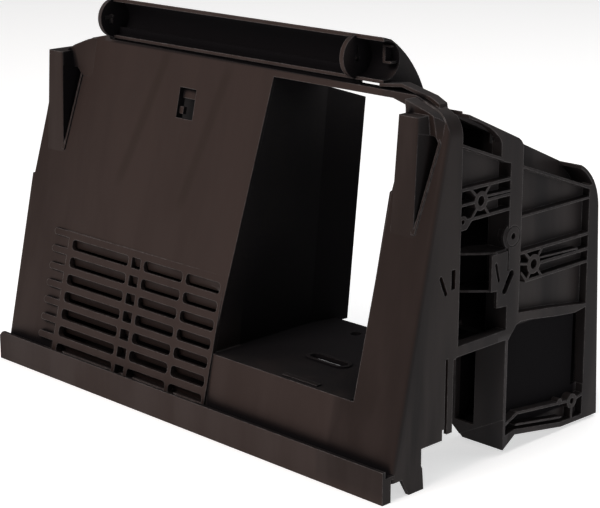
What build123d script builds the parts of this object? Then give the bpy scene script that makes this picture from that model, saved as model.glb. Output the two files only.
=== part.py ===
from build123d import *
from math import atan2, cos, degrees, hypot, radians, sin, tan
import os

# A one-piece moulded housing: a leaning front panel with a louvred grille, an
# open passage beside it, a half-round channel along the top and a ribbed hollow
# duct down the right-hand side. Sizes are millimetres. The parts are drawn from
# the bottom right-hand front corner: x runs leftwards to -width, y runs back
# from the lip and z runs up. The finished housing is moved to its own origin.

# Driving dimensions
width = 400.0
depth = 223.5
panel_top = 247.0
panel_lean = radians(12.6)
wall = 2.5
rib = 1.9

# Lip along the front foot
lip_height = 22.0
lip_depth = 7.7
gutter_floor = 17.5
lip_pockets = 8
lip_chamfer = 4.5

# Front panel
foot_y = 10.0
foot_z = 24.0
hood_depth = 68.0
bend_radius = 3.5
corner_drop = 10.0
corner_radius = 18.0
shoulder_rise = 5.0

# Passage beside the panel
rail_width = 38.0
passage_floor = 54.0
passage_width = 137.0
passage_taper = 19.0
floor_depth = 135.0
cheek_crease_y = 113.0
cheek_depth = 146.0
cheek_turn = 0.2
panel_width = width - rail_width - passage_width

# Grille
grille_rows = 7
grille_pitch = 12.8
grille_top = 97.8
slot_height = 7.8
bar_height = 5.0
finger_start = 0.176
column_shares = ((0.278, 0.564), (0.580, 0.624), (0.640, 0.824), (0.840, 0.995))
louvre_thickness = 1.6
window_share = 0.684

# Posts beside the panel
post_foot = 162.0
post_head = 238.0
post_spacing = width - 50.0
post_shape = (-34.5, -13.5, -28.5, -12.0)
post_rounding = 1.8
pocket_head = 224.0
rim_height = 1.0
rim_width = 1.6
flare = 13.0

# Duct on the right-hand side
duct_width = 44.5
duct_front = 66.0
pocket_depth = 6.0
skin = 2.0
roof_fall = 0.44
bay_floor = 81.0
pillar_back = 130.5
box_front = 118.0
corner_band = 17.0
rear_top = depth - 10.0
rear_radius = 38.0
roof_inset = 18.0
wall_reach = 17.5
shelf_levels = (142.5, 117.5)
shelf_thickness = 1.4

# Channel along the top
channel_left = -332.0
channel_right = -60.0
channel_y = 64.5
channel_z = 264.5
channel_radius = 13.0
fairing_z = 241.0

# Screw bosses: (y, z, outside diameter, hole diameter)
upper_boss = (88.8, 180.0, 12.6, 6.6)
rear_boss = (145.2, 127.3, 13.2, 6.8)
pillar_boss = (122.6, 150.5, 12.6, 4.4)
foot_boss = (depth - 29.5, 18.6, 10.4, 4.5)
small_boss = (71.5, 169.3, 7.6, 3.2)


def panel_y(z):
    return foot_y + (z - foot_z) * tan(panel_lean)


def roof_z(y):
    return panel_top - 3 - (y - 62) * roof_fall


panel_plane = Plane(origin=(0, foot_y, foot_z), x_dir=(1, 0, 0), z_dir=(0, -cos(panel_lean), sin(panel_lean)))


def slope(z):
    return (z - foot_z) / cos(panel_lean)


def face(points):
    return Polygon(*points, align=None)


def along_x(sketch, x_from, x_to):
    return extrude(Plane.YZ.offset(x_from) * sketch, amount=x_to - x_from, dir=(1, 0, 0))


def along_y(sketch, y_from, y_to):
    return extrude(Plane.XZ.offset(-y_from) * sketch, amount=y_to - y_from, dir=(0, 1, 0))


def on_panel(points, front, back):
    sketch = face([(x, slope(z)) for x, z in points])
    return extrude(panel_plane.offset(front) * sketch, amount=front + back, dir=-panel_plane.z_dir)


def block(x_from, x_to, y_from, y_to, z_from, z_to):
    box = Box(x_to - x_from, y_to - y_from, z_to - z_from, align=(Align.MIN,) * 3)
    return Pos(x_from, y_from, z_from) * box


def bar(start, end, thickness):
    length = hypot(end[0] - start[0], end[1] - start[1])
    turn = degrees(atan2(end[1] - start[1], end[0] - start[0]))
    middle = ((start[0] + end[0]) / 2, (start[1] + end[1]) / 2)
    return Pos(*middle) * Rot(0, 0, turn) * Rectangle(length + thickness, thickness)


# Front view of the hood: the panel with its bent side walls
def front_outline(inset):
    left = -width + inset
    right = -inset
    top = panel_top - inset
    outline = face([
        (right, -5), (right, top - corner_drop), (right - 31, top), (channel_left + 2, top + 2),
        (channel_left + 1, top + shoulder_rise), (channel_left - 17, top + 1), (left + 26, top - 11),
        (left + 12, top - 13), (left + 9, top - 60), (left + 4.5, top - 106), (left, top - 106), (left, -5)])
    corner = outline.vertices().sort_by(lambda v: v.X + v.Y)[-1]
    return fillet(corner, corner_radius - inset)


def hood_side(inset):
    bottom = 12.0
    top = panel_top + 10
    lift = inset / cos(panel_lean)
    return face([(panel_y(bottom) + lift, bottom), (panel_y(top) + lift, top), (hood_depth, top),
                 (hood_depth, bottom)])


def hood():
    outside = along_x(hood_side(0), -width, 0)
    long_edges = outside.edges().filter_by(lambda e: abs(e.tangent_at(0).Z) > 0.9 and e.center().Y < 40)
    outside = fillet(long_edges, bend_radius)
    outside = outside & along_y(front_outline(0), -5, depth)
    inside = along_x(hood_side(wall), -width, 0) & along_y(front_outline(wall), -5, depth)
    inside = inside + along_y(front_outline(wall), hood_depth - 0.01, hood_depth + 5)
    return outside - inside - block(-width + 20, -40, 5, hood_depth + 10, 0, 15)


def side_feet(body):
    slot = hood_depth - 10
    below = face([(36.1, 0), (36.1, 27.9), (slot - 2, 27.9), (slot - 2, 35), (slot, 35),
                  (slot, bay_floor + 1), (slot + 2.3, bay_floor + 1), (slot + 2.3, 31), (slot + 7.6, 31),
                  (slot + 7.6, bay_floor - 1), (hood_depth + 1, bay_floor - 1), (hood_depth + 1, 0)])
    foot = face([(17.5, 12.6), (24.9, 0), (38.7, 0), (37.3, 14.5), (35.4, 17.7), (36.1, 30), (17.5, 30)])
    for x in (-width, -wall - 0.5):
        body = body - along_x(below, x - 1, x + wall + 1.5)
        body = body + along_x(foot, x, x + wall + 0.5)
    return body


def lip():
    body = block(-width, 0, 0, lip_depth, 0, gutter_floor) + block(-width, 0, 0, wall, 0, lip_height)
    gutter = face([(0.5, gutter_floor - wall), (panel_y(gutter_floor) + wall, gutter_floor - wall),
                   (panel_y(gutter_floor) + wall, gutter_floor), (0.5, gutter_floor)])
    body = body + along_x(gutter, -width, 0)
    pitch = (width - wall) / lip_pockets
    for i in range(lip_pockets):
        start = -width + wall + i * pitch
        body = body - block(start, start + pitch - wall, wall, lip_depth - wall, -1, gutter_floor - wall)
    corner = along_y(face([(-width - 1, lip_height - lip_chamfer), (-width - 1, lip_height + 1),
                           (-width + lip_chamfer, lip_height + 1)]), -1, wall + 1)
    return body - corner


# Two wedge-shaped posts stand proud of the panel, one at each side
def post(shift, inset):
    foot_left, foot_right, head_left, head_right = (x - shift for x in post_shape)
    outline = face([(foot_left + inset, post_foot - 2), (foot_right - inset, post_foot - 2),
                    (head_right - inset, post_head - inset), (head_left + inset, post_head - inset)])
    front = panel_y(post_foot) + inset
    section = face([(front, post_foot - 2), (front, post_head - inset),
                    (panel_y(post_head) + 6, post_head - inset), (panel_y(post_foot) + 6, post_foot - 2)])
    return along_y(outline, 20, 80) & along_x(section, -width, 0)


def posts(body):
    for shift in (post_spacing, 0):
        outside = post(shift, 0)
        tall = outside.edges().filter_by(lambda e: e.length > 60 and e.center().Y < panel_y(post_foot) + 3)
        outside = fillet(tall, post_rounding)
        body = body + outside - post(shift, wall)
    return body


# The panel flares forward to the head of each post
def flares():
    lean_plane = Plane(origin=(0, foot_y, foot_z), x_dir=(1, 0, 0),
                       z_dir=(0, sin(panel_lean), cos(panel_lean)))
    pieces = []
    for shift, ramp in ((post_spacing, 16), (0, 6)):
        left, right = post_shape[0] - shift + 4, post_shape[3] - shift + 2
        low = face([(right + ramp, 1), (right + ramp, 0), (right + 3, -0.4), (left, -0.4), (left, 1)])
        high = face([(right + ramp, 1), (right + ramp, 0), (right + 1, -flare), (left, -flare), (left, 1)])
        wedge = loft([lean_plane.offset(slope(post_head - 18)) * low,
                      lean_plane.offset(slope(panel_top + 4)) * high], ruled=True)
        pieces.append(wedge & along_y(front_outline(0.6), 20, 90))
    return pieces


# A sunk pocket with a raised rim beside each post
def post_pockets(body):
    inward = -panel_plane.z_dir
    for shift in (post_spacing, 0):
        inner = post_shape[1] - shift
        outer = inner + 7.5
        shape = face([(inner - 1, slope(post_foot + 4)), (outer, slope(pocket_head - 3)),
                      (outer - 1.5, slope(pocket_head)), (outer - 3, slope(pocket_head + 1)),
                      (inner + 1, slope(pocket_head + 1))])
        above_foot = Pos((inner + outer) / 2, slope(post_foot + 2))
        keep = above_foot * Rectangle(40, 90, align=(Align.CENTER, Align.MIN))
        outside = offset(shape, rim_width, kind=Kind.INTERSECTION) & keep
        cup = extrude(panel_plane.offset(rim_height) * outside, amount=11, dir=inward)
        body = body + cup - extrude(panel_plane.offset(20) * shape, amount=29, dir=inward)
    return body


def passage(body):
    left = -rail_width - passage_width
    head = panel_top - 4
    opening = [(left, passage_floor), (-rail_width - 3, passage_floor), (-rail_width, 185),
               (-rail_width + 6, head - 7), (-rail_width + 6, head - 4), (-rail_width - 11, head),
               (left + passage_taper, head)]
    body = body - on_panel(opening, 1, 40)
    strip = face([(left - wall, passage_floor - wall), (left, passage_floor - wall),
                  (left + passage_taper, panel_top), (left + passage_taper - wall, panel_top)])
    front = extrude(Plane.XZ.offset(-5) * strip, amount=cheek_crease_y - 5, dir=(0, 1, 0))
    shift = (cheek_depth - cheek_crease_y) * cheek_turn
    rear = extrude(Plane.XZ.offset(-cheek_crease_y) * strip, amount=cheek_depth - cheek_crease_y,
                   dir=(cheek_turn, 1, 0))
    cheek = front + rear
    keep = face([(panel_y(passage_floor - wall) + 1, passage_floor - wall),
                 (panel_y(panel_top) + 1, panel_top),
                 (cheek_depth + shift, roof_z(cheek_depth + shift) + 12),
                 (cheek_depth + shift, passage_floor - wall)])
    return body + (cheek & along_x(keep, -width, 0))


def passage_base():
    left = -rail_width - passage_width - wall / 2
    middle = -rail_width - passage_width / 2
    top = passage_floor
    floor = block(left, -duct_width, panel_y(top) + 1, floor_depth, top - wall, top)
    step = block(left, -duct_width, floor_depth - 3, floor_depth, top - 12, top)
    rim = Pos(middle, 62, top) * extrude(SlotOverall(38, 13), 1.2)
    slot = Pos(middle, 62, top - 10) * extrude(SlotOverall(33, 8), 20)
    drain = Pos(left + 42, floor_depth - 17, top) * Cylinder(4, 20)
    ledge = block(middle - 2, middle + 30, 19.5, 24, top - 1, top + 1)
    return floor + step + rim + ledge - slot - drain


# Grille: raised bars over slots, each slot backed by a slanting louvre blade
columns = [(-width + start * panel_width, -width + end * panel_width) for start, end in column_shares]
grille_left = -width + finger_start * panel_width
grille_plane = Plane(panel_plane.location * Location((grille_left, slope(grille_top + 6.5), 1.2),
                                                     (-1.3, 0.35, 0)))


def grille(body):
    drop = grille_pitch / cos(panel_lean)
    right = columns[-1][1]
    height = grille_rows * drop + bar_height
    pad_width = right + 3 - grille_left - 18
    pad = Pos(18, bar_height / 2) * Rectangle(pad_width, height, align=(Align.MIN, Align.MAX))
    for row in range(grille_rows + 1):
        pad += Pos(12, -row * drop) * SlotOverall(24, bar_height)
    body = body + extrude(grille_plane * pad, amount=wall + 1, dir=-grille_plane.z_dir)
    for row in range(grille_rows):
        middle = slope(grille_top) - row * drop
        for left, end in columns:
            centre = (left + end) / 2
            corner = 0.8 if end - left < 12 else 2.8
            slot = Pos(centre, middle) * RectangleRounded(end - left, slot_height, corner)
            body = body - extrude(panel_plane.offset(8) * slot, amount=11.2, dir=-panel_plane.z_dir)
    return body


def louvres():
    drop = grille_pitch / cos(panel_lean)
    blades = []
    for row in range(grille_rows):
        middle = slope(grille_top) - row * drop
        pitch_angle = 20 + 2.5 * row
        for left, end in columns:
            length = slot_height + 0.6
            blade = Box(end - left + 2.4, length, louvre_thickness,
                        align=(Align.CENTER, Align.MAX, Align.MAX))
            seat = Location(((left + end) / 2, middle + slot_height / 2 + 1.2, -wall + 1.1),
                            (pitch_angle, 0, 0))
            blades.append(panel_plane.location * seat * blade)
    return blades


def latch_window(body):
    left = -width + window_share * panel_width
    right = left + 17
    hole = [(left, 204), (right, 204), (right, 218), (left, 218)]
    pocket = [(left, 217), (right, 217), (right, 225), (left, 225)]
    tongue = [(left - 0.5, 207), (left + 4.5, 207), (left + 4.5, 212), (left - 0.5, 212)]
    frame = [(left - 2, 202), (right + 2, 202), (right + 2, 227), (left - 2, 227)]
    body = body + on_panel(frame, -wall / 2, 6)
    body = body - on_panel(hole, 1, 20) - on_panel(pocket, 1, 3.5)
    return body + on_panel(tongue, -2, 5)


# Side view of the duct and of the plain left-hand wall
def side_outline():
    outline = face([(duct_front, bay_floor), (duct_front, roof_z(duct_front)), (rear_top, roof_z(rear_top)),
                    (depth, 2), (depth - 8, 2), (depth - 41, 2.7), (box_front + 13, 11.2), (box_front, 3),
                    (box_front, bay_floor)])
    corner = outline.vertices().sort_by(lambda v: v.Y + v.X)[-1]
    return fillet(corner, rear_radius)


def band_y(z):
    return depth - corner_band - 2.5 * z / 170


def front_bay():
    start, end = hood_depth + 1.5, box_front
    return face([(start, bay_floor + 7), (end, bay_floor + 7), (end, 199.6), (end - 7, 201.5),
                 (end - 10, 203.5), (end - 10, 214), (end - 12, 217.5), (end - 17, 222),
                 (end - 23, 226.2), (85, 231), (75, 234.5), (75, panel_top + 5),
                 (start - 8, panel_top + 5), (start - 8, 237), (start, 237)])


def rear_bay():
    return face([(pillar_back, 97), (164, 93), (band_y(90), 87), (band_y(140), 140), (band_y(168), 170),
                 (pillar_back, 196)])


def rear_recess():
    head = roof_z(pillar_back)
    floor = face([(pillar_back, 194), (band_y(168), 168), (depth, 168), (depth, panel_top),
                  (pillar_back - 6, panel_top), (pillar_back - 6, head + 1.6),
                  (pillar_back - 2.4, head - 1.2), (pillar_back - 0.6, head - 3.6),
                  (pillar_back, head - 6)])
    band = side_outline() - offset(side_outline(), -2.4)
    band = band & Pos(rear_top - 20, 150) * Rectangle(60, 80, align=Align.MIN)
    return floor - band - Pos(band_y(168), 100) * Rectangle(40, 70.5, align=Align.MIN)


def low_bay():
    end = band_y(40)
    return face([(box_front + 2.5, 13), (box_front + 13, 15), (end - 25, 6.5), (end, 5.5),
                 (band_y(84), 84.5), (depth - 30.5, 83), (depth - 53, 85.4), (143, 89.5), (133.5, 90.3),
                 (pillar_back - 2, 89), (box_front + 2.5, 80)])


def star(centre, corners, thickness):
    arms = Sketch()
    for corner in corners:
        arms += bar(centre, corner, thickness)
    return arms


def bay_ribs():
    y1, z1, _, _ = upper_boss
    y2, z2, _, _ = rear_boss
    y3, z3, _, _ = small_boss
    front, back = hood_depth, box_front + 1
    end = band_y(130) + 2
    ribs = bar((front, z1 + 9.8), (back, z1 + 9.4), rib) + bar((front, z1 - 10.4), (back, z1 - 10.4), rib)
    ribs += bar((y1, z1 + 2.4), (back, z1 + 1.6), 1.3) + bar((y1, z1 - 0.6), (back, z1 - 0.6), 1.9)
    ribs += star((y1, z1), [(front + 1, z1), (y1 - 11, z1 + 9.5), (y1 + 9, z1 + 9.5), (y1 - 9, z1 - 10),
                            (y1 + 8, z1 - 10)], 1.6)
    ribs += bar((front, 218.7), (back - 7, 202.5), rib)
    ribs += bar((pillar_back - 1, 195.6), (band_y(168) + 2, 168.2), rib)
    ribs += bar((pillar_back - 1, 162), (end, 162), 1.5)
    ribs += bar((pillar_back - 1, z2 + 10), (end, z2 + 9.5), rib)
    ribs += bar((pillar_back + 7, z2 - 10), (end, z2 - 10), rib)
    ribs += bar((y2, z2 + 3.4), (end - 14, z2 + 1.2), 1.1) + bar((y2, z2 - 0.4), (end, z2 - 1.2), 2.1)
    ribs += star((y2, z2), [(pillar_back - 1, z2 + 3), (y2 - 10, z2 + 10), (y2 + 9, z2 + 9.5),
                            (y2 - 7, z2 - 10), (y2 + 9, z2 - 10)], 1.6)
    ribs += bar((pillar_back + 2, z2 - 4), (y2 - 7, z2 - 10), 1.6)
    ribs += bar((pillar_back - 1, 93), (band_y(88), 86.2), 1.2)
    for y, z, size, _ in (upper_boss, rear_boss, small_boss):
        ribs += Pos(y, z) * Circle(size / 2)
    return ribs + face([(y3 - 3, z3 - 5.5), (y3 + 3.5, z3 - 5.5), (y3 + 9.5, z1 - 10.4), (y3, z3)])


def low_ribs():
    y, z, size, _ = foot_boss
    end = band_y(20) + 2
    ribs = bar((box_front, 20), (box_front + 15, 26), rib) + bar((box_front + 15, 26), (y, z + 0.4), rib)
    ribs += bar((box_front + 14, 18), (y - 12, 9.8), 1.2) + Pos(y - 14, z + 3) * Circle(2.4)
    ribs += bar((y, z), (end, z + 2.4), rib) + bar((y, z), (y, 0), rib)
    return ribs + Pos(y, z) * Circle(size / 2)


def duct():
    outline = side_outline()
    shell = along_x(outline, -duct_width, 0)
    cheek = face([(panel_y(28) + 1.5, 28), (panel_y(186) + 1.5, 186), (hood_depth, 192), (hood_depth, 28)])
    front_roof = face([(panel_y(243) + 1, 241), (panel_y(243) + 1, 243), (hood_depth, roof_z(hood_depth)),
                       (hood_depth, roof_z(hood_depth) - wall)])
    shell = shell + along_x(cheek, -rail_width - wall, -rail_width)
    shell = shell + along_x(front_roof, -rail_width - wall, -roof_inset)
    room = offset(outline, -wall, kind=Kind.INTERSECTION)
    inner_face = -pocket_depth - skin
    shell = shell - along_x(room, -duct_width + wall, inner_face)
    shell = shell - block(-rail_width, inner_face, duct_front - 1, duct_front + wall + 1,
                          bay_floor + wall, roof_z(duct_front) - wall - 1)
    shell = shell + block(-duct_width, 0, box_front, box_front + wall, 10, roof_z(box_front) - 1)
    shell = shell - block(-duct_width + wall, -wall_reach, box_front - 1, box_front + wall + 1, 80, 197)
    shell = shell - block(-duct_width + wall, -25, box_front - 1, box_front + wall + 1, 15, 81)
    ribs = bay_ribs()
    shell = shell - along_x(front_bay() + rear_bay() - ribs, -pocket_depth, 1)
    shell = shell - along_x(rear_recess() - ribs, -roof_inset, 1)
    shell = shell - along_x(low_bay() - low_ribs(), -pocket_depth, 1)
    shell = shell - skin_windows(ribs)
    above_strap = face([(duct_front - 2, roof_z(duct_front - 2) - 1.3),
                        (pillar_back - 5, roof_z(pillar_back - 5) - 1.3), (pillar_back - 5, panel_top),
                        (duct_front - 2, panel_top)])
    shell = shell - along_x(above_strap, -pocket_depth, 1)
    beside_hood = block(-30, 1, duct_front - 1, hood_depth + 2, 195, panel_top + 5)
    shell = shell - (beside_hood - along_y(front_outline(0), duct_front - 2, hood_depth + 3))
    backing = offset(outline, -1.0) & face([(pillar_back - 3, 192), (band_y(168) + 4, 164.5), (depth, 164.5),
                                            (depth, panel_top), (pillar_back - 3, panel_top)])
    sill = face([(pillar_back - 2, 194.4), (band_y(168) + 2, 167), (band_y(168) + 2, 169),
                 (pillar_back - 2, 196.4)])
    shell = shell + along_x(backing, -roof_inset - skin, -roof_inset)
    return shell + along_x(sill, -roof_inset - 1, -pocket_depth)


# Where the skin behind the ribs is open to the duct
def skin_windows(ribs):
    deep = -pocket_depth - skin - 1
    y1, z1, _, _ = upper_boss
    y2, z2, _, _ = rear_boss
    start, end = hood_depth + 1.5, box_front
    side_opening = face([(start, bay_floor + 7), (end, bay_floor + 7), (end, z1 - 13), (start, z1 - 13)])
    side_opening += face([(start, z1 - 11), (y1 + 7, z1 - 11), (y1 + 7, z1 + 9), (start, z1 + 9)])
    side_opening += face([(end - 5, z1 - 10), (end, z1 - 10), (end, 199), (end - 5, 201)])
    under_roof = front_bay() & face([(start, 218), (end, 201), (end, panel_top + 5), (60, panel_top + 5),
                                     (60, 230)])
    rear_cells = face([(pillar_back, z2 - 9.5), (y2 + 8, z2 - 9.5), (y2 + 8, z2 + 9.5),
                       (pillar_back, z2 + 9.5)])
    cuts = along_x((side_opening + rear_cells) - ribs, deep, 1) + along_x(under_roof - ribs, -roof_inset, 1)
    low_window = face([(depth - 24, 28), (band_y(28), 28), (band_y(82), 82), (depth - 24, 83)])
    roof_slot = face([(start + 6, roof_z(start + 6) - 9), (end + 8, roof_z(end + 8) - 9),
                      (end + 8, panel_top), (start + 6, panel_top)])
    cuts = cuts + along_x(low_window, deep, 1) + along_x(roof_slot, -roof_inset, -pocket_depth)
    pillar_core = block(deep, -wall, box_front + wall, pillar_back - wall, bay_floor + 10, 205)
    band_core = block(deep, -wall, depth - corner_band + wall, depth - wall - 6, 20, 150)
    return cuts + pillar_core + band_core


def duct_details(body):
    front = box_front
    for z in shelf_levels:
        shelf = Plane.XY.offset(z) * face([(0, front - 11), (-2, front - 11), (-2, front + 1),
                                           (-wall_reach, front + 1), (-duct_width + 1, hood_depth),
                                           (-duct_width + 1, 60), (-rail_width, 67)])
        body = body + extrude(shelf, amount=shelf_thickness, dir=(0, 0, -1))
    high, low = shelf_levels
    plate = face([(front - 16.5, high - 1), (front - 16.5, low - 0.5), (front - 10.5, low - 0.5),
                  (front - 10.5, 105), (front + 1, 104.2), (front + 1, high - 1)])
    body = body + along_x(plate, -2.2, 0)
    slot = Pos(front + 0.6, 120.4) * Rot(0, 0, 57) * SlotOverall(17, 5.2)
    notch = Pos(front - 10.6, 129) * Rot(0, 0, -74) * SlotOverall(14, 2.4)
    seam = face([(front - 0.6, 128), (front + 0.6, 128), (front + 0.6, high + 6), (front - 0.6, high + 6)])
    body = body - along_x(slot, -wall - 1, 1) - along_x(notch, -wall - 1, 1) - along_x(seam, -wall, 1)
    hook = along_x(Pos(54, 131) * Rot(0, 0, -65) * SlotOverall(15, 3), -wall - 1, 1)
    catch = block(-wall - 1, 1, 61.5, 65.5, 127, 140)
    return body - hook - catch


# The foot of the duct: chamfered outer edge and a folded facet on its front
def box_foot(body):
    chamfer = face([(-duct_width - 1, 12), (-duct_width, 11.3), (-duct_width + 10, 3), (-duct_width + 10, -1),
                    (-duct_width - 1, -1)])
    body = body - along_y(chamfer, box_front - 1, depth + 1)
    fold = Plane(origin=(0.5, box_front, 25.3), x_dir=(0.468, 0, -0.884), z_dir=(-0.884, 0, -0.468))
    wedge = [(0, -0.5), (30, -0.5), (30, 2.2), (0, 0)]
    return body - extrude(fold * face(wedge), amount=50, dir=fold.z_dir) - extrude(
        fold * face(wedge), amount=20, dir=-fold.z_dir)


# Screw bosses stand from the skin out to the side face
def bosses(body):
    inner = -pocket_depth - skin
    all_bosses = (upper_boss, rear_boss, pillar_boss, foot_boss, small_boss)
    for y, z, size, _ in all_bosses:
        body = body + along_x(Pos(y, z) * Circle(size / 2), inner, 0)
    y, z, size, _ = pillar_boss
    collar = (Pos(y, z) * Circle(size / 2 + 2.4)) & (Pos(y - 8, z) * Rectangle(16, 30))
    body = body + along_x(collar, -3.2, -1.2)
    body = body - along_x(Pos(y, z) * (Circle(size / 2 + 0.8) - Circle(size / 2)), -0.8, 1)
    for y, z, _, hole in all_bosses:
        body = body - along_x(Pos(y, z) * Circle(hole / 2), inner - 0.5, 2)
    return body


# Half-round channel with a curved fairing behind it
def channel_section(inset):
    front = channel_y - 2.5 if inset == 0 else channel_y + 6
    top = channel_z + 15 - inset
    foot = fairing_z + 9 if inset == 0 else fairing_z - 8
    crown = (channel_y + 4.5 + inset * 0.3, top - 2)
    belly = (channel_y + 23.7 - inset * 0.75, channel_z - 3.3 - inset * 0.65)
    tail = (channel_y + 36.5 - inset, fairing_z - inset * 0.3)
    edges = [Line((front, foot), (front, top)), Line((front, top), crown), ThreePointArc(crown, belly, tail)]
    if inset:
        edges = edges + [Line(tail, (tail[0], foot)), Line((tail[0], foot), (front, foot))]
    else:
        edges = edges + [Line(tail, (front, foot))]
    return make_face(edges) - Pos(channel_y, channel_z) * Circle(channel_radius + inset - 0.5)


def channel():
    full = channel_section(0)
    body = along_x(full, channel_left, channel_right)
    hollow = channel_section(2.0)
    bays = [(channel_left + wall, -87.0), (-84.5, channel_right - wall)]
    for start, end in bays:
        body = body - along_x(hollow, start, end)
    disc = Pos(channel_y, channel_z) * Circle(channel_radius + 1)
    body = body + along_x(disc, channel_left + 1.5, channel_left + 5) + along_x(disc, -87.5, -84)
    key = Pos(channel_y - 1, channel_z - 1) * (Circle(2.2) + Pos(0, 4.5) * Rectangle(1.6, 9))
    body = body - along_x(key, -90, -82)
    slot = Pos(channel_y - 6, channel_z + 1) * (Rectangle(9, 2.6) + Pos(1.5, -1.5) * Rectangle(3.4, 7))
    body = body - along_x(slot, channel_left + 3, channel_left + 7)
    body = body + block(channel_left + 3, -85, channel_y + 3.5, channel_y + 5, 252, 257.5)
    end = channel_right - wall
    clip = block(end - 6, end - 4, channel_y + 6, channel_y + 12, channel_z - 3, channel_z + 9)
    clip = clip + block(end - 6, end + 1, channel_y + 6, channel_y + 12, channel_z + 7.6, channel_z + 9)
    clip = clip + block(end - 6, end + 1, channel_y + 6, channel_y + 12, channel_z - 3, channel_z - 1.6)
    return body + clip


# A thin strap from the channel's end down to the hood's corner, with a wall behind it
def top_bracket():
    end = channel_right
    strap = face([(end - 3, 248.0), (end - 3, 250.2), (end + 16, 252.4), (end + 39.5, 247.2),
                  (end + 47, 243.6), (end + 48, 238.5), (end + 45.6, 238.5), (end + 45, 242.0),
                  (end + 38.5, 245.0), (end + 16, 250.2)])
    back = face([(end - 2, 242), (end - 2, 249), (end + 16, 251), (end + 39, 246), (end + 46, 242),
                 (end + 46, 236), (end + 30, 242)])
    web = block(channel_left + 1, end - 22, 63.5, 66.5, 242, 251)
    return along_y(strap, 61.5, 69) + along_y(back, 67, 69.5) + web


def left_wall():
    reach, tall = Pos(-width, panel_top / 2), panel_top * 1.2
    strip = (front_outline(0) - front_outline(wall)) & reach * Rectangle(30, tall)
    plate = along_y(strip, duct_front, depth) & along_x(side_outline(), -width, 0)
    hem = (front_outline(0) - front_outline(9)) & reach * Rectangle(44, tall)
    hem = along_y(hem, duct_front + 8, depth)
    inside = offset(side_outline(), -wall, kind=Kind.INTERSECTION)
    return plate + (hem & along_x(side_outline() - inside, -width, 0))


# Plain air box behind the grille, open at the top
def air_box():
    left, right = columns[0][0] - 5, columns[-1][1]
    top, back = grille_top + 22, 62.0
    section = face([(panel_y(gutter_floor) + 1, gutter_floor - wall), (panel_y(top) + 1, top), (back, top),
                    (back, gutter_floor - wall)])
    hollow = face([(panel_y(gutter_floor) - 2, gutter_floor), (panel_y(top + 9) - 2, top + 9),
                   (back - wall, top + 9), (back - wall, gutter_floor)])
    return along_x(section, left - wall, right), along_x(hollow, left, right - wall)


def housing():
    body = hood()
    body = side_feet(body)
    body = body + lip()
    body = body + flares()
    body = posts(body)
    body = post_pockets(body)
    shell, room = air_box()
    body = body + (shell - room)
    body = passage(body) + passage_base()
    body = grille(body)
    body = body + louvres()
    body = latch_window(body)
    body = body + duct() + left_wall()
    body = box_foot(duct_details(body))
    body = bosses(body)
    body = body + channel() + top_bracket()
    return body.moved(Location((width / 2, -depth / 2, 0)))


if __name__ == "__main__":
    os.makedirs("parts", exist_ok=True)
    part = housing()
    print("solids", len(part.solids()), "volume cm3", round(part.volume / 1000, 1))
    print("size", part.bounding_box().size)
    export_step(part, "parts/housing.step")
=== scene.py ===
import bpy
from math import cos, radians, sin
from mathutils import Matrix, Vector

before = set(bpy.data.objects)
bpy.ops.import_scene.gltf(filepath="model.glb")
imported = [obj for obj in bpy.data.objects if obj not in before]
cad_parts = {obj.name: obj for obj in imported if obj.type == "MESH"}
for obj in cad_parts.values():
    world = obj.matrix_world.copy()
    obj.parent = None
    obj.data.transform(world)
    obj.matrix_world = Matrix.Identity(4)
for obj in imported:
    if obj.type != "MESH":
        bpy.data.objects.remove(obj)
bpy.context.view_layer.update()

bpy.ops.object.select_all(action="DESELECT")
scene = bpy.context.scene
print("stage: frame loaded")


# Small helpers for the node trees
def addNode(tree, kind, place, **settings):
    node = tree.nodes.new(kind)
    node.location = place
    for name, value in settings.items():
        setattr(node, name, value)
    return node


def setInputs(node, values):
    for name, value in values.items():
        node.inputs[name].default_value = value
    return node


def placeGroup(tree, place, group, values):
    return setInputs(addNode(tree, "ShaderNodeGroup", place, node_tree=group), values)


def mapRange(tree, place, source, fromMin, fromMax, toMin, toMax):
    node = addNode(tree, "ShaderNodeMapRange", place, clamp=True, interpolation_type="SMOOTHSTEP")
    setInputs(node, {"From Min": fromMin, "From Max": fromMax, "To Min": toMin, "To Max": toMax})
    tree.links.new(source, node.inputs["Value"])
    return node.outputs["Result"]


def mathNode(tree, place, operation, *values):
    node = addNode(tree, "ShaderNodeMath", place, operation=operation)
    for slot, value in enumerate(values):
        if isinstance(value, (int, float)):
            node.inputs[slot].default_value = value
        else:
            tree.links.new(value, node.inputs[slot])
    return node.outputs[0]


def vectorNode(tree, place, operation, *values):
    node = addNode(tree, "ShaderNodeVectorMath", place, operation=operation)
    for slot, value in enumerate(values):
        tree.links.new(value, node.inputs[slot])
    return node


def splitAxes(tree, place, vector):
    node = addNode(tree, "ShaderNodeSeparateXYZ", place)
    tree.links.new(vector, node.inputs["Vector"])
    return node.outputs


def mixColour(tree, place, factor, first, second):
    node = addNode(tree, "ShaderNodeMix", place, data_type="RGBA")
    for slot, value in ((0, factor), (6, first), (7, second)):      # factor, A and B of a colour mix
        if isinstance(value, tuple):
            node.inputs[slot].default_value = value
        else:
            tree.links.new(value, node.inputs[slot])
    return node.outputs[2]


def scaleColour(colour, share):
    return tuple(part * share for part in colour[:3]) + (1.0,)


def newGroup(name, inputs, outputs):
    group = bpy.data.node_groups.new(name, "ShaderNodeTree")
    for label, kind, value in inputs:
        socket = group.interface.new_socket(name=label, in_out="INPUT", socket_type=kind)
        socket.default_value = value
    for label, kind in outputs:
        group.interface.new_socket(name=label, in_out="OUTPUT", socket_type=kind)
    start = addNode(group, "NodeGroupInput", (-1400, 0))
    end = addNode(group, "NodeGroupOutput", (900, 0))
    return group, start, end


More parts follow.
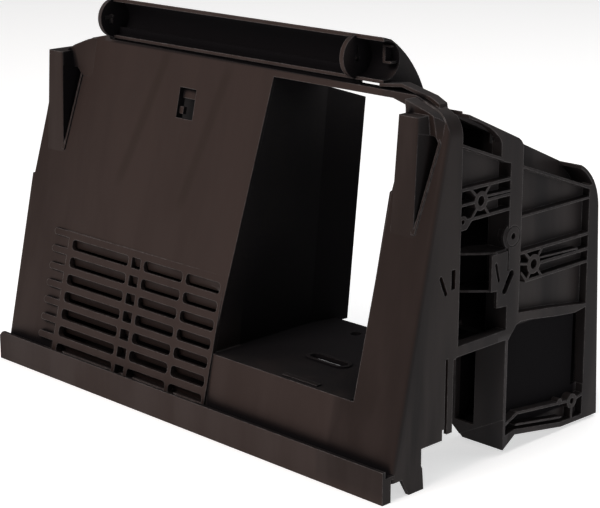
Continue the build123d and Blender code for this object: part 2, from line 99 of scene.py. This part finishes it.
# Edge wear and painted highlight: how far the rounded normal leaves the flat one
def buildEdgeWearAndHighlight():
    group, start, end = newGroup(
        "edgeWearAndHighlight",
        [("Radius", "NodeSocketFloat", 0.0008), ("Breakup Scale", "NodeSocketFloat", 260.0)],
        [("Mask", "NodeSocketFloat"), ("Normal", "NodeSocketVector")])
    links = group.links
    rounded = addNode(group, "ShaderNodeBevel", (-1100, 150), samples=6)
    links.new(start.outputs["Radius"], rounded.inputs["Radius"])
    flat = addNode(group, "ShaderNodeNewGeometry", (-1100, -100))
    turned = vectorNode(group, (-900, 100), "DOT_PRODUCT", rounded.outputs["Normal"],
                        flat.outputs["True Normal"])
    edge = mapRange(group, (-700, 100), turned.outputs["Value"], 0.995, 0.80, 0.0, 1.0)
    place = addNode(group, "ShaderNodeTexCoord", (-1100, -350))
    grain = addNode(group, "ShaderNodeTexNoise", (-900, -300))
    setInputs(grain, {"Detail": 3.0, "Roughness": 0.6})
    links.new(place.outputs["Object"], grain.inputs["Vector"])
    links.new(start.outputs["Breakup Scale"], grain.inputs["Scale"])
    broken = mapRange(group, (-700, -300), grain.outputs["Fac"], 0.35, 0.65, 0.35, 1.0)
    links.new(mathNode(group, (-400, 0), "MULTIPLY", edge, broken), end.inputs["Mask"])
    links.new(rounded.outputs["Normal"], end.inputs["Normal"])
    return group


# Flow marks, dust specks and fine grain of a large moulding
def buildMouldMarks():
    group, start, end = newGroup(
        "mouldMarks",
        [("Streak Scale", "NodeSocketFloat", 34.0), ("Speck Scale", "NodeSocketFloat", 900.0)],
        [("Streaks", "NodeSocketFloat"), ("Specks", "NodeSocketFloat"), ("Grain", "NodeSocketFloat")])
    links = group.links
    place = addNode(group, "ShaderNodeTexCoord", (-1200, 0))
    lean = addNode(group, "ShaderNodeMapping", (-1000, 200))
    setInputs(lean, {"Rotation": (0.0, radians(-18), 0.0), "Scale": (1.0, 1.0, 0.14)})     # long up the panel
    links.new(place.outputs["Object"], lean.inputs["Vector"])
    streak = addNode(group, "ShaderNodeTexNoise", (-800, 200))
    setInputs(streak, {"Detail": 4.0, "Roughness": 0.55, "Distortion": 0.3})
    links.new(start.outputs["Streak Scale"], streak.inputs["Scale"])
    links.new(lean.outputs["Vector"], streak.inputs["Vector"])
    links.new(mapRange(group, (-600, 200), streak.outputs["Fac"], 0.3, 0.7, 0.0, 1.0), end.inputs["Streaks"])
    speck = addNode(group, "ShaderNodeTexVoronoi", (-800, -50))
    links.new(start.outputs["Speck Scale"], speck.inputs["Scale"])
    links.new(place.outputs["Object"], speck.inputs["Vector"])
    specks = mapRange(group, (-600, -50), speck.outputs["Distance"], 0.10, 0.04, 0.0, 1.0)
    links.new(specks, end.inputs["Specks"])
    grain = addNode(group, "ShaderNodeTexNoise", (-800, -300))
    setInputs(grain, {"Scale": 2600.0, "Detail": 2.0, "Roughness": 0.6})
    links.new(place.outputs["Object"], grain.inputs["Vector"])
    links.new(grain.outputs["Fac"], end.inputs["Grain"])
    return group


# Painted shade in the deep places of the moulding, by how closed in they are
def buildDeepShade():
    group, start, end = newGroup(
        "deepShade",
        [("Reach", "NodeSocketFloat", 0.15), ("Open", "NodeSocketFloat", 0.82),
         ("Closed", "NodeSocketFloat", 0.6)],
        [("Mask", "NodeSocketFloat")])
    links = group.links
    around = addNode(group, "ShaderNodeAmbientOcclusion", (-900, 0), samples=12, only_local=True)
    links.new(start.outputs["Reach"], around.inputs["Distance"])
    depth = addNode(group, "ShaderNodeMapRange", (-500, 0), clamp=True, interpolation_type="SMOOTHSTEP")
    links.new(around.outputs["AO"], depth.inputs["Value"])
    links.new(start.outputs["Open"], depth.inputs["From Min"])
    links.new(start.outputs["Closed"], depth.inputs["From Max"])
    links.new(depth.outputs["Result"], end.inputs["Mask"])
    return group


# A soft slanting band where two flows of plastic met
def buildFlowLine():
    group, start, end = newGroup(
        "flowLine",
        [("Place X", "NodeSocketFloat", 0.0), ("Place Z", "NodeSocketFloat", 0.0),
         ("Slant", "NodeSocketFloat", 0.3), ("Length", "NodeSocketFloat", 0.05),
         ("Width", "NodeSocketFloat", 0.004)],
        [("Mask", "NodeSocketFloat")])
    place = addNode(group, "ShaderNodeTexCoord", (-1200, 0))
    axes = splitAxes(group, (-1000, 0), place.outputs["Object"])
    along = mathNode(group, (-800, 150), "SUBTRACT", axes["Z"], start.outputs["Place Z"])
    across = mathNode(group, (-800, -50), "SUBTRACT", axes["X"], start.outputs["Place X"])
    lean = mathNode(group, (-600, 50), "MULTIPLY", along, start.outputs["Slant"])
    away = mathNode(group, (-250, -50), "ABSOLUTE", mathNode(group, (-400, -50), "SUBTRACT", across, lean))
    near = mathNode(group, (-100, -50), "DIVIDE", away, start.outputs["Width"])
    line = mapRange(group, (100, -50), near, 0.4, 1.6, 1.0, 0.0)
    reach = mathNode(group, (-250, 150), "ABSOLUTE", along)
    far = mathNode(group, (-100, 150), "DIVIDE", reach, start.outputs["Length"])
    ends = mapRange(group, (100, 150), far, 0.75, 1.0, 1.0, 0.0)
    group.links.new(mathNode(group, (400, 50), "MULTIPLY", line, ends), end.inputs["Mask"])
    return group


# Whether a point lies inside a soft-edged box. Hollow keeps only the walls that face the box's middle
def buildSoftField():
    group, start, end = newGroup(
        "softField",
        [("Centre", "NodeSocketVector", (0.0, 0.0, 0.0)),
         ("Half Size", "NodeSocketVector", (0.05, 0.05, 0.05))],
        [("Mask", "NodeSocketFloat"), ("Hollow", "NodeSocketFloat")])
    place = addNode(group, "ShaderNodeTexCoord", (-1200, 0)).outputs["Object"]
    offset = vectorNode(group, (-1000, 0), "SUBTRACT", place, start.outputs["Centre"]).outputs["Vector"]
    share = vectorNode(group, (-800, 0), "DIVIDE", offset, start.outputs["Half Size"]).outputs["Vector"]
    size = vectorNode(group, (-600, 0), "ABSOLUTE", share).outputs["Vector"]
    axes = splitAxes(group, (-400, 0), size)
    wider = mathNode(group, (-300, 100), "MAXIMUM", axes["X"], axes["Y"])
    widest = mathNode(group, (-200, 0), "MAXIMUM", wider, axes["Z"])
    inside = mapRange(group, (100, 0), widest, 0.92, 1.0, 1.0, 0.0)
    facing = addNode(group, "ShaderNodeNewGeometry", (-800, -300)).outputs["Normal"]
    outward = vectorNode(group, (-600, -300), "DOT_PRODUCT", offset, facing).outputs["Value"]
    inward = mapRange(group, (-200, -300), outward, -0.0005, 0.0005, 1.0, 0.0)
    group.links.new(inside, end.inputs["Mask"])
    group.links.new(mathNode(group, (100, -300), "MULTIPLY", inside, inward), end.inputs["Hollow"])
    return group


edgeWearAndHighlight = buildEdgeWearAndHighlight()
mouldMarks = buildMouldMarks()
deepShade = buildDeepShade()
flowLine = buildFlowLine()
softField = buildSoftField()
print("stage: shader groups")

# Places of the housing that get painted light, painted shade or a tone of their own, in metres
footFront = {"Centre": (0.178, 0.005, 0.042), "Half Size": (0.032, 0.007, 0.044)}
footSide = {"Centre": (0.1865, 0.0515, 0.050), "Half Size": (0.0082, 0.042, 0.038)}
topChannel = {"Centre": (-0.008, -0.0485, 0.263), "Half Size": (0.122, 0.0152, 0.0165)}
leftDisc = {"Centre": (-0.131, -0.049, 0.264), "Half Size": (0.0036, 0.017, 0.017)}
fairing = {"Centre": (0.160, -0.045, 0.255), "Half Size": (0.018, 0.020, 0.026)}
latchWindow = {"Centre": (-0.0366, -0.048, 0.2135), "Half Size": (0.0080, 0.030, 0.0108)}
grille = {"Centre": (-0.060, -0.090, 0.055), "Half Size": (0.090, 0.022, 0.055)}
ribbedSide = {"Centre": (0.230, 0.030, 0.130), "Half Size": (0.056, 0.120, 0.140)}
wholeDuct = {"Centre": (0.190, 0.045, 0.130), "Half Size": (0.060, 0.085, 0.160)}
lowRail = {"Centre": (0.200, -0.070, 0.125), "Half Size": (0.060, 0.050, 0.126)}

housingLook = {
    "frontSheenColour": (0.0385, 0.0262, 0.0232, 1.0),       # browner where it faces forward: painted warm sheen
    "railColour": (0.0215, 0.0140, 0.0122, 1.0),
    "sideColour": (0.0152, 0.0136, 0.0138, 1.0),
    "ductColour": (0.0208, 0.0192, 0.0200, 1.0),
    "paintedLightColour": (0.056, 0.053, 0.055, 1.0),
    # painted shade for deep and dark places
    "deepShadeColour": (0.0032, 0.0026, 0.0034, 1.0),
    # edge wear with painted highlight
    "wornHighlightColour": (0.200, 0.188, 0.190, 1.0),
    "flowColour": (0.0250, 0.0168, 0.0130, 1.0),
    "dustColour": (0.11, 0.10, 0.10, 1.0),
    "frontTurn": (-0.35, -0.9),                         # Y of the normal where the painted sheen tone starts and is full
    "leftShade": (-0.19, -0.09, 0.60, 0.0),             # painted shade to the left: from X, to X, and the rail's tone at each
    "streakShare": 0.30, "streakGain": 1.45, "speckShare": 0.16,
    "flowLines": ((-0.080, 0.200, 0.353), (-0.0145, 0.193, 0.294)),         # X, Z and slant
    "flowLength": 0.056, "flowWidth": 0.0042, "flowShare": 0.42,
    "edgeRadius": 0.0011, "wornHighlightShare": 0.85,
    "deepReach": 0.18, "deepRoughness": 0.9,
    "paintedLightFields": ((footFront, 0.75), (leftDisc, 0.70), (fairing, 0.16)),   # share of the painted light colour
    "openFields": ((ribbedSide, 0.12), (footFront, 0.15), (grille, 0.24), (leftDisc, 0.20)),    # shade kept
    # places painted dark as shade
    "darkShadeFields": ((footSide, "Mask"), (topChannel, "Hollow"), (latchWindow, "Hollow")),
    "roughness": (0.46, 0.62),
    "grainDepth": 0.000045, "grainStrength": 0.5,
}


# The moulding's tone by place, painted warm sheen where it faces forward, painted shade towards the left and
# painted light in a few places, and how far a surface counts as front
def placeTone(tree, look):
    facing = addNode(tree, "ShaderNodeNewGeometry", (-900, -300))
    turned = splitAxes(tree, (-700, -300), facing.outputs["Normal"])
    place = addNode(tree, "ShaderNodeTexCoord", (-900, -900))
    where = splitAxes(tree, (-700, -900), place.outputs["Object"])
    duct = placeGroup(tree, (-700, -700), softField, wholeDuct).outputs["Mask"]
    rail = placeGroup(tree, (-700, -500), softField, lowRail).outputs["Mask"]
    forward = mapRange(tree, (-500, -300), turned["Y"], *look["frontTurn"], 0.0, 1.0)
    outside = mathNode(tree, (-500, -600), "SUBTRACT", 1.0, duct)
    front = mathNode(tree, (-350, -600), "MULTIPLY", forward, outside)
    # painted shade, growing towards the left edge
    leftShade = mapRange(tree, (-500, -900), where["X"], *look["leftShade"])
    darker = mathNode(tree, (-450, -700), "MAXIMUM", rail, leftShade)
    frontSheenTone = mixColour(tree, (-400, -450), darker, look["frontSheenColour"], look["railColour"])
    sideTone = mixColour(tree, (-400, -750), duct, look["sideColour"], look["ductColour"])
    # forward faces take the painted warm sheen tone
    tone = mixColour(tree, (-250, -150), front, sideTone, frontSheenTone)
    # painted light in a few fixed places
    for row, (spot, share) in enumerate(look["paintedLightFields"]):
        height = -1100 - 200 * row
        field = placeGroup(tree, (-500, height), softField, spot)
        paintedLightShare = mathNode(tree, (-350, height), "MULTIPLY", field.outputs["Mask"], share)
        tone = mixColour(tree, (-200, height), paintedLightShare, tone, look["paintedLightColour"])
    return tone, front


# Streaks, dust, flow lines and worn edges with painted highlight over that tone
def addMarks(tree, look, tone, front, marks, wearAndHighlight):
    streaks = mathNode(tree, (-250, 50), "MULTIPLY", marks.outputs["Streaks"], look["streakShare"])
    tone = mixColour(tree, (-50, -100), streaks, tone, scaleColour(look["frontSheenColour"], look["streakGain"]))
    specks = mathNode(tree, (-50, 100), "MULTIPLY", marks.outputs["Specks"], look["speckShare"])
    tone = mixColour(tree, (150, -100), specks, tone, look["dustColour"])
    for row, (placeX, placeZ, slant) in enumerate(look["flowLines"]):
        height = 350 + 200 * row
        line = placeGroup(tree, (-100, height), flowLine, {
            "Place X": placeX, "Place Z": placeZ, "Slant": slant,
            "Length": look["flowLength"], "Width": look["flowWidth"]})
        onFront = mathNode(tree, (0, height), "MULTIPLY", line.outputs["Mask"], front)
        faint = mathNode(tree, (100, height), "MULTIPLY", onFront, look["flowShare"])
        tone = mixColour(tree, (250, height), faint, tone, look["flowColour"])
    # worn edges with painted highlight
    wornHighlight = mathNode(tree, (150, 150), "MULTIPLY", wearAndHighlight.outputs["Mask"], look["wornHighlightShare"])
    return mixColour(tree, (350, -50), wornHighlight, tone, look["wornHighlightColour"])


# Share of deep shade: less of it in the open fields, all of it in the dark ones
def findDeepShade(tree, look):
    deepShadeMask = placeGroup(tree, (150, 350), deepShade, {"Reach": look["deepReach"]}).outputs["Mask"]
    for row, (spot, share) in enumerate(look["openFields"]):
        height = 1000 + 200 * row
        field = placeGroup(tree, (-100, height), softField, spot)
        kept = mapRange(tree, (100, height), field.outputs["Mask"], 0.0, 1.0, 1.0, share)
        deepShadeMask = mathNode(tree, (300, height), "MULTIPLY", deepShadeMask, kept)
    for row, (spot, walls) in enumerate(look["darkShadeFields"]):
        height = 1800 + 200 * row
        field = placeGroup(tree, (-100, height), softField, spot)
        deepShadeMask = mathNode(tree, (300, height), "MAXIMUM", deepShadeMask, field.outputs[walls])
    return deepShadeMask


def satinPlastic(look):
    material = bpy.data.materials.new("satinPlastic")
    material.use_nodes = True
    tree = material.node_tree
    tree.nodes.clear()
    links = tree.links
    surface = addNode(tree, "ShaderNodeOutputMaterial", (900, 0))
    shader = addNode(tree, "ShaderNodeBsdfPrincipled", (600, 0))
    setInputs(shader, {"IOR": 1.49, "Specular IOR Level": 0.12})
    links.new(shader.outputs["BSDF"], surface.inputs["Surface"])
    wearAndHighlight = placeGroup(tree, (-900, 250), edgeWearAndHighlight, {"Radius": look["edgeRadius"]})
    marks = placeGroup(tree, (-900, -50), mouldMarks, {})
    tone, front = placeTone(tree, look)
    tone = addMarks(tree, look, tone, front, marks, wearAndHighlight)
    deepShadeMask = findDeepShade(tree, look)
    # painted shade in deep and dark places
    links.new(mixColour(tree, (450, 150), deepShadeMask, tone, look["deepShadeColour"]), shader.inputs["Base Color"])
    low, high = look["roughness"]
    rough = mapRange(tree, (150, -350), marks.outputs["Streaks"], 0.0, 1.0, high, low)
    dull = mathNode(tree, (300, -450), "MULTIPLY", deepShadeMask, look["deepRoughness"])
    links.new(mathNode(tree, (300, -350), "MAXIMUM", rough, dull), shader.inputs["Roughness"])
    bump = addNode(tree, "ShaderNodeBump", (350, -350))
    setInputs(bump, {"Strength": look["grainStrength"], "Distance": look["grainDepth"]})
    links.new(marks.outputs["Grain"], bump.inputs["Height"])
    links.new(wearAndHighlight.outputs["Normal"], bump.inputs["Normal"])
    links.new(bump.outputs["Normal"], shader.inputs["Normal"])
    return material


plastic = satinPlastic(housingLook)
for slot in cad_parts["housing"].material_slots:
    slot.material = plastic
print("stage: plastic on the housing")

floorLook = {
    "size": 16.0, "colour": (0.80, 0.80, 0.80, 1.0), "fibreScale": 240.0, "fibreShade": 0.99,
    "lift": 0.60,                                                                   # up to white
    "underPart": {"Centre": (-0.05, 0.0, 0.0), "Half Size": (0.13, 0.105, 1.0)},    # left unlifted
}


def paleFloor(look):
    bpy.ops.mesh.primitive_plane_add(size=look["size"], location=(0.0, 0.0, 0.0))
    floor = bpy.context.object
    floor.name = "paleFloor"
    material = bpy.data.materials.new("palePaper")
    material.use_nodes = True
    tree = material.node_tree
    tree.nodes.clear()
    links = tree.links
    paper = addNode(tree, "ShaderNodeBsdfDiffuse", (0, 100))
    place = addNode(tree, "ShaderNodeTexCoord", (-600, 100))
    fibre = addNode(tree, "ShaderNodeTexNoise", (-400, 100))
    setInputs(fibre, {"Scale": look["fibreScale"], "Detail": 2.0})
    links.new(place.outputs["Object"], fibre.inputs["Vector"])
    shade = mixColour(tree, (-200, 100), fibre.outputs["Fac"], look["colour"],
                      scaleColour(look["colour"], look["fibreShade"]))
    links.new(shade, paper.inputs["Color"])
    ray = addNode(tree, "ShaderNodeLightPath", (-400, -200))
    seen = mathNode(tree, (-200, -200), "MAXIMUM", ray.outputs["Is Camera Ray"], ray.outputs["Is Glossy Ray"])
    under = placeGroup(tree, (-400, -450), softField, look["underPart"])
    clear = mathNode(tree, (-200, -450), "SUBTRACT", 1.0, under.outputs["Mask"])
    lifted = mathNode(tree, (-100, -350), "MULTIPLY", seen, clear)
    glow = addNode(tree, "ShaderNodeEmission", (0, -100))
    links.new(mathNode(tree, (-50, -300), "MULTIPLY", lifted, look["lift"]), glow.inputs["Strength"])
    both = addNode(tree, "ShaderNodeAddShader", (200, 0))
    surface = addNode(tree, "ShaderNodeOutputMaterial", (400, 0))
    links.new(paper.outputs[0], both.inputs[0])
    links.new(glow.outputs[0], both.inputs[1])
    links.new(both.outputs[0], surface.inputs["Surface"])
    floor.data.materials.append(material)


paleFloor(floorLook)

lampLooks = {
    "keyLamp": {"place": (-0.1, -1.8, 1.7), "aim": (0.0, 0.0, 0.12), "size": 1.5, "power": 38.0,
                "colour": (1.0, 0.92, 0.88)},
    "sideLamp": {"place": (2.3, 0.1, 0.55), "aim": (0.0, 0.0, 0.12), "size": 1.0, "power": 7.0,
                 "colour": (0.97, 0.98, 1.0)},
    "topLamp": {"place": (0.2, 0.9, 2.4), "aim": (0.0, 0.0, 0.1), "size": 1.8, "power": 26.0,
                "colour": (1.0, 1.0, 1.0)},
}
skyLook = {"seen": (1.0, 1.0, 1.0, 1.0), "light": (0.97, 0.98, 1.0, 1.0), "level": 0.075}


def aimAlong(item, direction):
    item.rotation_euler = direction.to_track_quat("-Z", "Y").to_euler()


def softLamps(lamps):
    for name, lamp in lamps.items():
        bpy.ops.object.light_add(type="AREA", location=lamp["place"])
        light = bpy.context.object
        light.name = name
        light.data.shape = "DISK"
        light.data.size = lamp["size"]
        light.data.energy = lamp["power"]
        light.data.color = lamp["colour"]
        aimAlong(light, Vector(lamp["aim"]) - Vector(lamp["place"]))


# White where the camera sees it, and a low even light on everything else
def paleSky(sky):
    world = bpy.data.worlds.new("paleSky")
    world.use_nodes = True
    tree = world.node_tree
    tree.nodes.clear()
    links = tree.links
    lighting = addNode(tree, "ShaderNodeBackground", (0, 100))
    setInputs(lighting, {"Color": sky["light"], "Strength": sky["level"]})
    seen = addNode(tree, "ShaderNodeBackground", (0, -100))
    setInputs(seen, {"Color": sky["seen"], "Strength": 1.0})
    ray = addNode(tree, "ShaderNodeLightPath", (-200, 200))
    blend = addNode(tree, "ShaderNodeMixShader", (250, 0))
    output = addNode(tree, "ShaderNodeOutputWorld", (450, 0))
    links.new(ray.outputs["Is Camera Ray"], blend.inputs[0])
    links.new(lighting.outputs[0], blend.inputs[1])
    links.new(seen.outputs[0], blend.inputs[2])
    links.new(blend.outputs[0], output.inputs["Surface"])
    scene.world = world


softLamps(lampLooks)
paleSky(skyLook)

cameraLook = {
    "place": (0.8868, -0.87085, 0.4514), "azimuth": 45.0, "elevation": 15.75,
    "lens": 106.8, "sensor": 36.0, "nearest": 0.01,
}


def addCamera(look):
    turn, tilt = radians(look["azimuth"]), radians(look["elevation"])
    bpy.ops.object.camera_add(location=look["place"])
    camera = bpy.context.object
    camera.name = "studioCamera"
    camera.data.sensor_width = look["sensor"]
    camera.data.lens = look["lens"]
    camera.data.clip_start = look["nearest"]
    aimAlong(camera, Vector((-sin(turn) * cos(tilt), cos(turn) * cos(tilt), -sin(tilt))))
    scene.camera = camera


addCamera(cameraLook)
scene.view_settings.view_transform = "Standard"
print("stage: floor, light and camera")
